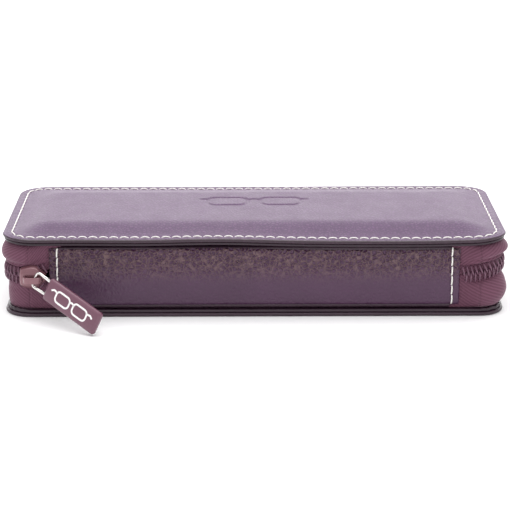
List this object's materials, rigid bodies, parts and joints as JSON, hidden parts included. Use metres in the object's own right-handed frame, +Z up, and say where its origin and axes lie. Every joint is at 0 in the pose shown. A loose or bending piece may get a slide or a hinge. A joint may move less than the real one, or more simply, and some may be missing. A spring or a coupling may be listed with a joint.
{
  "type": "glasses organizer case",
  "caption": "Slim zip-around leather case with padded covers, a stitched spine and a padded divider leaf that keeps slim pairs of glasses apart.",
  "frame": {"origin": "centre of the flat underside of the bottom cover", "axes": "+Z up out of the underside, +X along the case's length, the spine faces -Y and the case opens towards -Y"},
  "size_m": [0.19, 0.0934, 0.0332],
  "materials": {
    "cover_leather": "pebbled, semi-matt aubergine",
    "bottom_leather": "pebbled, semi-matt dark aubergine",
    "facing_leather": "smooth, semi-matt aubergine",
    "cream_thread": "matt cream stitching thread",
    "board": "grey stiffener board",
    "foam": "soft foam padding",
    "lining": "brushed velvet",
    "zip_tape": "woven burgundy tape",
    "zip_coil": "burgundy nylon coil",
    "slider_metal": "dusty pink lacquer",
    "bright_steel": "bright plated wire",
    "tag_lacquer": "dusty pink lacquer",
    "emblem_white": "white print"
  },
  "bodies": {
    "base": {"bottom_leather": "bottom_leather", "bottom_topstitch": "cream_thread", "bottom_facing": "facing_leather", "bottom_board": "board", "bottom_foam": "foam", "bottom_lining": "lining", "zip_tape_lower": "zip_tape", "zip_chain_lower": "zip_coil"},
    "spine": {"spine_leather": "cover_leather", "spine_stitch_left": "cream_thread", "spine_stitch_right": "cream_thread", "spine_board": "board", "spine_lining": "lining", "zip_end_tape_left": "zip_tape", "zip_end_tape_right": "zip_tape", "zip_end_chain_left": "zip_coil", "zip_end_chain_right": "zip_coil"},
    "lid": {"lid_leather": "cover_leather", "lid_topstitch": "cream_thread", "lid_facing": "facing_leather", "lid_board": "board", "lid_foam": "foam", "lid_lining": "lining", "zip_tape_upper": "zip_tape", "zip_chain_upper": "zip_coil"},
    "divider": {"divider_board": "board", "divider_pad_lower": "lining", "divider_pad_upper": "lining", "divider_binding": "facing_leather", "divider_hinge_tab": "facing_leather"},
    "slider": {"slider_body": "slider_metal", "slider_bridge": "slider_metal", "slider_lock_spring": "bright_steel"},
    "pull": {"pull_loop": "bright_steel", "pull_tag": "tag_lacquer", "tag_emblem": "emblem_white"}
  },
  "joints": [
    {"name": "spine_turn", "type": "hinge", "parent": "base", "child": "spine", "pos_m": [0, -0.0349, 0.0029], "axis": [1, 0, 0], "range_deg": [0, 85.48]},
    {"name": "lid_turn", "type": "hinge", "parent": "spine", "child": "lid", "pos_m": [0, -0.0349, 0.0283], "axis": [1, 0, 0], "range_deg": [0, 94.52]},
    {"name": "leaf_turn", "type": "hinge", "parent": "spine", "child": "divider", "pos_m": [0, -0.0309, 0.0156], "axis": [1, 0, 0], "range_deg": [0, 47.26]},
    {"name": "slider_run", "type": "hinge", "parent": "spine", "child": "slider", "pos_m": [-0.0849, -0.0249, 0.0156], "axis": [0, 0, 1], "range_deg": [-90, 0], "deforming": ["zip_chain_lower", "zip_chain_upper", "zip_end_chain_left"]},
    {"name": "pull_swing", "type": "hinge", "parent": "slider", "child": "pull", "pos_m": [-0.0821, -0.03785, 0.016], "axis": [0.4185, -0.0088, 0.9082], "range_deg": [-95, 30]}
  ],
  "couplings": [
    {"joint": "leaf_turn", "follows": "lid_turn", "ratio": 0.5}
  ]
}
